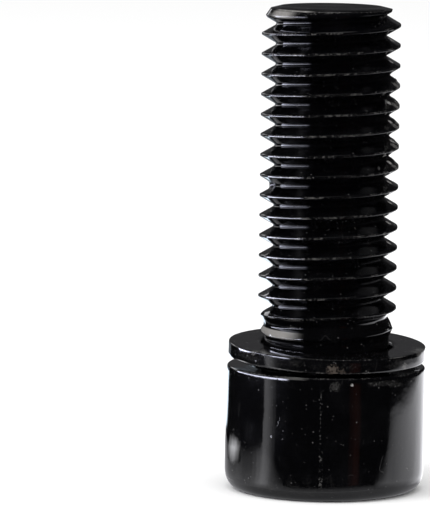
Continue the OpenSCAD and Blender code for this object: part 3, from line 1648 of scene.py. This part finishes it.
def bolt_body() -> BoltBody:
    """The bolt with this one's own bruises, worn spots and painted highlights.

    Returns:
        The bolt, ready to be built.
    """
    rough_crests = (28.9, 30.65, 32.4, 34.15, 35.9)
    clogged = tuple(
        Bruise(direction=2, z=z, width=16, reach=0.42, height=0.45) for z in rough_crests
    )
    lumps = (
        Bruise(direction=181, z=26.45, width=3.5, reach=0.22, height=0.42),
        Bruise(direction=181, z=13.9, width=9, reach=0.3, height=0.24),
        Bruise(direction=-8, z=14.1, width=7, reach=0.3, height=0.12),
        Bruise(direction=-22, z=14.5, width=5, reach=0.25, height=0.14),
    )
    dice = np.random.default_rng(5)
    grains_to_a_crest = 7
    grit = tuple(
        Bruise(
            direction=dice.uniform(-16, 16),
            z=z + dice.uniform(-0.8, 0.8),
            width=dice.uniform(2.0, 3.6),
            reach=dice.uniform(0.10, 0.22),
            height=dice.uniform(-0.16, 0.12),
        )
        for z in np.repeat((27.15, *rough_crests), grains_to_a_crest)
    )
    crumbs = tuple(
        WornSpot(
            direction=way, radius=5.3, z=z, reach=reach, strength=0.95, stain=StainAndHighlight.DUST, ragged=0.85,
        )
        for way, z, reach in (
            (-9, 39.3, 0.5), (-14, 37.4, 0.4), (-20, 33.9, 0.45), (-10, 34.6, 0.5), (-14, 32.1, 0.4),
            (-26, 31.5, 0.45), (-17, 31.8, 0.4), (-8, 30.3, 0.5), (-15, 28.6, 0.4), (-29, 29.4, 0.36),
            (-10, 26.9, 0.45), (-9, 25.1, 0.4), (-12, 23.4, 0.4), (-10, 21.6, 0.36), (-14, 14.4, 0.45),
        )
    )
    dull_crests = tuple(
        WornSpot(direction=way, radius=5.75, z=z, reach=0.9, strength=0.4)
        for way in (-3, -15)
        for z in (35.1, 33.4, 31.6, 29.9, 28.1)
    )
    chips = (
        WornSpot(direction=-86, radius=8.6, z=10.1, reach=0.7, strength=0.07),
        WornSpot(direction=-76.2, radius=8.6, z=10.25, reach=0.22, strength=0.6, stain=StainAndHighlight.DUST),
    )
    # Dust on the head, and one painted highlight on its top edge.
    dust = tuple(
        Patch(way, z_range, half_width, fade, strength, dotted)
        for way, z_range, half_width, fade, strength, dotted in (
            (-94.1, (0.8, 10.2), 0.07, (0.04, 0.04), 0.14, 1.0),
            (-93.2, (1.0, 4.6), 0.12, (0.08, 0.08), 0.12, 1.0),
            # Painted highlight on the head's top edge, dotted like dust, that carries its gleam on towards
            # the front.
            (-110, (10.6, 10.75), 0.9, (0.6, 0.06), 0.25, 0.5),
            (-56, (10.15, 10.3), 1.4, (0.4, 0.22), 0.16, 0.9),
            (-46, (9.95, 10.05), 0.7, (0.3, 0.2), 0.13, 0.9),
        )
    )
    # Painted highlights in bare-steel colour on the tip: a smear on the left of the chamfer, a bright
    # piece of the left rim and a dotted line along the front edge.
    tip_painted_highlights = tuple(
        Patch(way, z_range, half_width, fade, strength, dotted, StainAndHighlight.STEEL)
        for way, z_range, half_width, fade, strength, dotted in (
            (-143, (41.2, 41.62), 1.2, (0.75, 0.16), 1.0, 0.3),
            (-132, (41.74, 41.82), 1.9, (0.5, 0.03), 0.9, 0.5),
            (-80, (41.76, 41.8), 4.2, (0.8, 0.03), 0.2, 0.9),
        )
    )
    # Painted glints, dotted, on the right of the tip's rim.
    tip_painted_glints = Patch(-18, (41.2, 41.82), 1.0, (0.5, 0.1), 0.4, 1.0)
    # Painted highlight in bare-steel colour on the band where the thread runs out into the neck.
    runout_painted_highlight = Patch(-152, (13.5, 14.12), 2.7, (1.0, 0.08), 1.0, 0.12, StainAndHighlight.STEEL)
    return BoltBody(
        thread=Thread(bruises=(*clogged, *grit, *lumps)),
        tip=Tip(),
        head=Head(),
        socket=Socket(),
        finish=GlossBlackCoat(
            name="black_coat",
            edge_wear=0.18,
            # Extra bare steel on the lit left side: partly wear, partly a painted highlight.
            side_wear=0.3,
            spots=(*crumbs, *dull_crests, *chips),
            patches=(*dust, *tip_painted_highlights, tip_painted_glints, runout_painted_highlight),
        ),
    )


def captive_washer() -> CaptiveWasher:
    """The washer with its own worn spots.

    Returns:
        The washer, ready to be built.
    """
    scuffs = (
        WornSpot(direction=-148, radius=8.3, z=12.7, reach=0.6, strength=0.08),
        WornSpot(direction=-138, radius=8.3, z=12.6, reach=0.6, strength=0.2, stain=StainAndHighlight.DUST),
        WornSpot(direction=-130, radius=8.4, z=12.6, reach=0.5, strength=0.1),
        WornSpot(direction=-87.5, radius=8.5, z=11.5, reach=0.8, strength=0.27, stain=StainAndHighlight.GRIME),
        WornSpot(direction=-82, radius=8.5, z=11.4, reach=0.45, strength=0.16, stain=StainAndHighlight.GRIME),
        WornSpot(direction=-22, radius=8.5, z=12.5, reach=1.2, strength=0.14),
        WornSpot(direction=-14, radius=8.5, z=12.3, reach=1.2, strength=0.2, stain=StainAndHighlight.DUST),
        WornSpot(direction=-40, radius=8.5, z=11.5, reach=0.6, strength=0.2),
    )
    return CaptiveWasher(finish=GlossBlackCoat(name="washer_coat", edge_wear=0.4, spots=scuffs))


def studio() -> Studio:
    """The light in which a gloss black bolt reads as black with crisp lines.

    Returns:
        The studio, ready to be built.
    """
    flags = (
        Mat("front_mat", 0.01, azimuths=(-60, 60), near=(13, 13), lift=0.1),
        Mat("left_mat", 0.01, azimuths=(-60, -180), near=(13, 13), lift=0.1),
        Mat("right_mat", 0.01, azimuths=(60, 180), near=(13, 13), lift=0.1),
        Mat("contact", 0.65, near=(7, 7), far=(9.7, 9.7), shares=(0.4, 1.0), lift=0.1),
        Mat("contact_fade", 0.65, near=(9.7, 9.7), far=(12.8, 12.8), shares=(1.0, 0.0), lift=0.15),
        Wall("dark_surround", 0.02, azimuths=(-165, 165), heights=(0, 9000)),
        Wall("dark_back", 0.08, azimuths=(165, 195), heights=(330, 9000)),
        Wall("dark_back_low", 0.035, azimuths=(165, 195), heights=(0, 330)),
    )
    left = (
        Wall("low_softbox", 24.0, (0.8, 0.82, 1.0), azimuths=(-50, -122), radius=110, heights=(3, 17)),
        Wall(
            "low_fade", 24.0, (0.8, 0.82, 1.0), azimuths=(-42, -50), radius=110, heights=(3, 17),
            shares=(0.0, 1.0),
        ),
        Wall(
            "high_softbox", 4.4, (0.85, 0.87, 1.0), azimuths=(-54, -122), radius=110, heights=(40.5, 62),
            shares=(0.1, 1.0),
        ),
        Wall("softbox_end", 1.7, azimuths=(-122, -162), radius=110, heights=(40.5, 62)),
        MirroredMat("left_stripe", 1.0, rows=(
            (-78.8, 5, 3000, 0.0, 0.0), (-77.4, 5, 3000, 1.4, 1.4), (-74, 5, 3000, 1.4, 1.4),
            (-71, 5, 3000, 1.1, 1.1), (-68, 5, 3000, 0.7, 0.7), (-65, 5, 3000, 0.3, 0.3),
            (-61, 5, 3000, 0.0, 0.0),
        )),
        MirroredMat("stripe_foot", 1.0, lift=0.35, rows=(
            (-112, 4, 24, 0.7, 0.1), (-100, 4, 28, 0.8, 0.05), (-92, 4, 32, 1.2, 0.0),
            (-86, 4, 36, 1.9, 0.0), (-80, 4, 40, 2.6, 0.0), (-78.8, 4, 40, 2.6, 0.0),
            (-77.4, 4, 40, 2.5, 1.4), (-74, 4, 38, 2.2, 1.4), (-71, 4, 36, 1.8, 1.1),
            (-68, 4, 34, 1.2, 0.7), (-65, 4, 30, 0.9, 0.3), (-61, 4, 22, 0.7, 0.0), (-50, 4, 9, 0.4, 0.0),
        )),
        MirroredMat("stripe_root", 1.0, lift=0.35, rows=(
            (-135, 1, 4, 0.6, 0.6), (-112, 1, 4, 0.7, 0.7), (-100, 1, 4, 0.8, 0.8), (-92, 1, 4, 0.9, 1.2),
            (-86, 1, 4, 0.9, 1.9), (-80, 1, 4, 0.9, 2.6), (-74, 1, 4, 0.9, 2.2), (-68, 1, 4, 0.9, 1.2),
            (-56, 1, 4, 0.8, 0.6), (-44, 1, 4, 0.6, 0.1),
        )),
        MirroredMat("left_near", 1.0, lift=0.3, rows=(
            (-200, 3, 42, 0.8, 0.8), (-178, 3, 38, 0.7, 0.6), (-164, 3, 32, 0.6, 0.35),
            (-150, 3, 24, 0.55, 0.2), (-138, 3, 20, 0.6, 0.15),
            (-122, 3, 28, 0.8, 0.05), (-108, 3, 28, 0.75, 0.03), (-93, 3, 22, 0.5, 0.03),
        )),
        MirroredMat("left_spot_near", 4.2, lift=0.4, rows=(
            (-152, 15, 23, 0.0, 0.0), (-144, 14, 23, 0.05, 0.3), (-136, 13, 23, 0.1, 0.75),
            (-128, 14, 23, 0.1, 1.0), (-121, 14, 23, 0.05, 0.5), (-115, 15, 23, 0.0, 0.0),
        )),
        MirroredMat("left_spot_far", 4.2, lift=0.4, rows=(
            (-152, 23, 33, 0.0, 0.0), (-144, 23, 35, 0.3, 0.0), (-136, 23, 37, 0.75, 0.0),
            (-128, 23, 37, 1.0, 0.0), (-121, 23, 35, 0.5, 0.0), (-115, 23, 33, 0.0, 0.0),
        )),
        Mat(
            "left_rim", 3.2, (0.76, 0.88, 1.0), azimuths=(-150, -173), near=(38, 38), far=(76, 76),
            shares=(0.5, 1.0),
        ),
        Mat("left_far_rim", 0.3, (0.8, 0.89, 1.0), azimuths=(-150, -178), near=(76, 76), far=(500, 500)),
    )
    right = (
        MirroredMat("warm_stripe", 0.13, (1.0, 0.32, 0.22), rows=(
            (26, 5, 75, 0.3, 0.3), (33, 5, 75, 1, 1), (40, 5, 75, 0.3, 0.3),
        )),
        MirroredMat("right_paper", 1.0, rows=(
            (60, 4, 12, 0.3, 0.0), (66, 4, 16, 0.8, 0.0), (72, 4, 20, 1.2, 0.05), (76, 4, 28, 1.4, 0.1),
            (80, 4, 45, 1.3, 0.35), (85, 4, 45, 1.2, 0.9), (90, 4, 45, 1.3, 1.2), (100, 4, 45, 1.4, 1.5),
            (115, 4, 48, 1.3, 1.7), (131, 4, 58, 1.6, 1.8), (150, 4, 85, 2.0, 2.1),
            (170, 4, 100, 2.1, 2.1), (178, 4, 100, 2.1, 2.1),
        )),
        MirroredMat("right_paper_root", 1.0, lift=0.25, rows=(
            (60, 1, 4, 0.4, 0.3), (72, 1, 4, 0.5, 1.1), (80, 1, 4, 0.6, 1.3), (90, 1, 4, 0.6, 1.3),
            (115, 1, 4, 0.6, 1.3), (150, 1, 4, 0.6, 2.0), (178, 1, 4, 0.6, 2.1),
        )),
        MirroredMat("right_paper_fade", 1.0, rows=(
            (80, 45, 54, 0.45, 0.0), (85, 45, 58, 0.9, 0.0), (90, 45, 60, 1.2, 0.05),
            (100, 45, 62, 1.5, 0.12), (115, 48, 68, 1.7, 0.18), (131, 58, 78, 1.8, 0.35),
            (150, 85, 96, 2.1, 1.7),
        )),
    )
    lamps = (SoftLamp("key", -60, 45, 700, 350, 2.0), SoftLamp("top", 20, 75, 700, 350, 1.0))
    return Studio(lamps=lamps, cards=(*flags, *left, *right))


def main() -> None:
    """Builds the bolt, the washer and the studio, and reports each piece."""
    logging.basicConfig(level=logging.INFO, format="%(name)s: %(message)s")
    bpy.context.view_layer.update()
    bpy.context.scene.view_settings.view_transform = "Standard"
    for part in (bolt_body(), captive_washer()):
        piece = part.build()
        part.dress(piece)
        report(piece)
    studio().build()
    log.info("studio: floor, lamps, cards and camera are in place")


if __name__ == "__main__":
    main()
